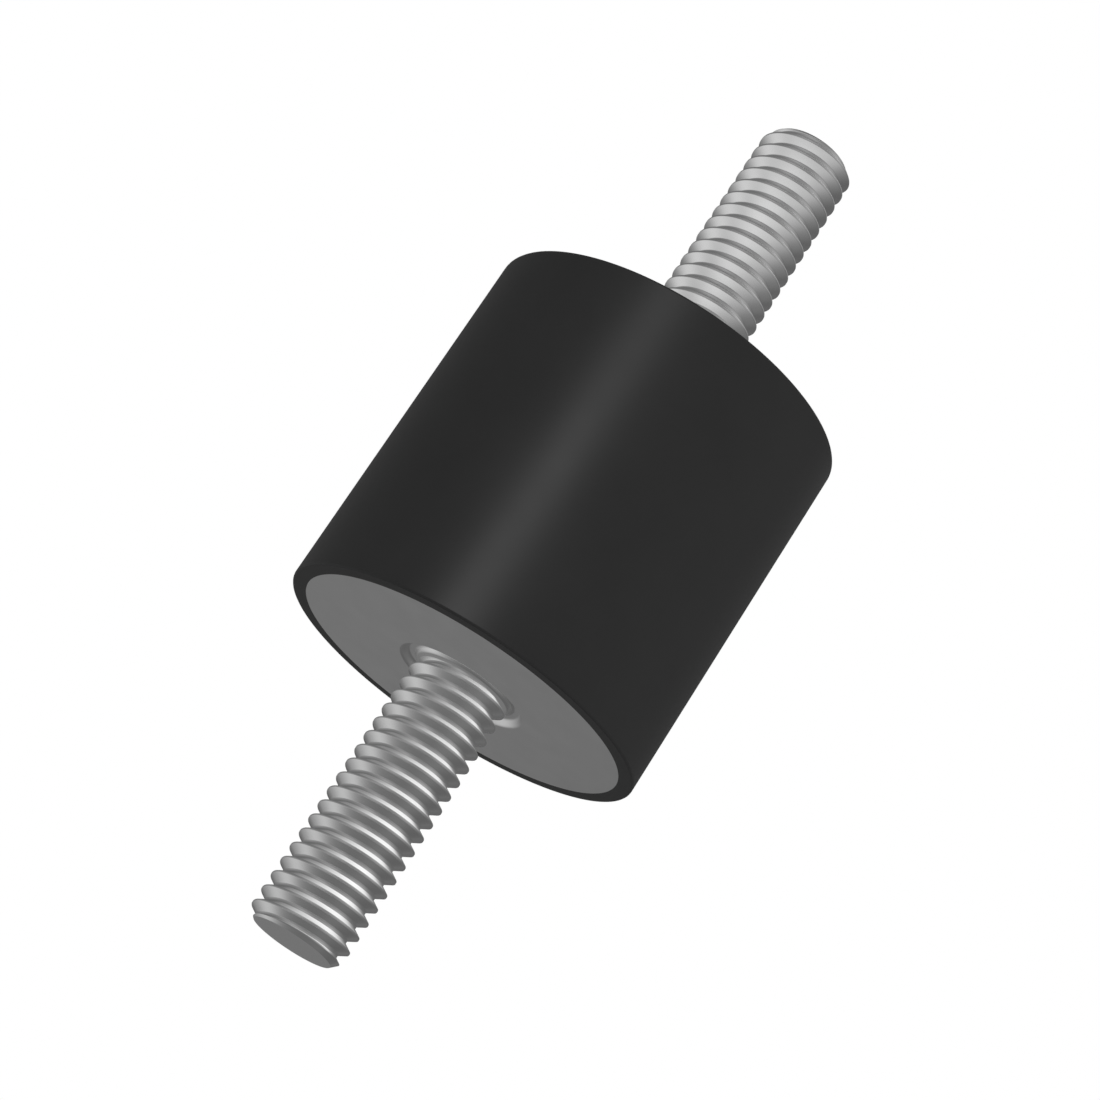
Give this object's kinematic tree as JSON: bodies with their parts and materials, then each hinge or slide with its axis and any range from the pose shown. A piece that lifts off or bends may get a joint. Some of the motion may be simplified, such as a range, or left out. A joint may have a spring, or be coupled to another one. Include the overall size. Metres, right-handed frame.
{
  "type": "rubber buffer",
  "caption": "Cylindrical rubber buffer bonded to a round steel plate at each end, with a threaded stud standing out of each plate.",
  "frame": {"origin": "middle of the rubber cylinder, on its axis", "axes": "+Z along the buffer's axis, out through the upper stud; the buffer looks the same from every side, so +X and +Y are free"},
  "size_m": [0.03, 0.03, 0.076],
  "materials": {
    "rubber": "satin moulded",
    "plate_steel": "dull zinc plated",
    "stud_steel": "bright zinc plated"
  },
  "bodies": {
    "root": {"rubber_body": "rubber", "upper_end_plate": "plate_steel", "lower_end_plate": "plate_steel", "upper_stud": "stud_steel", "lower_stud": "stud_steel"}
  },
  "joints": []
}
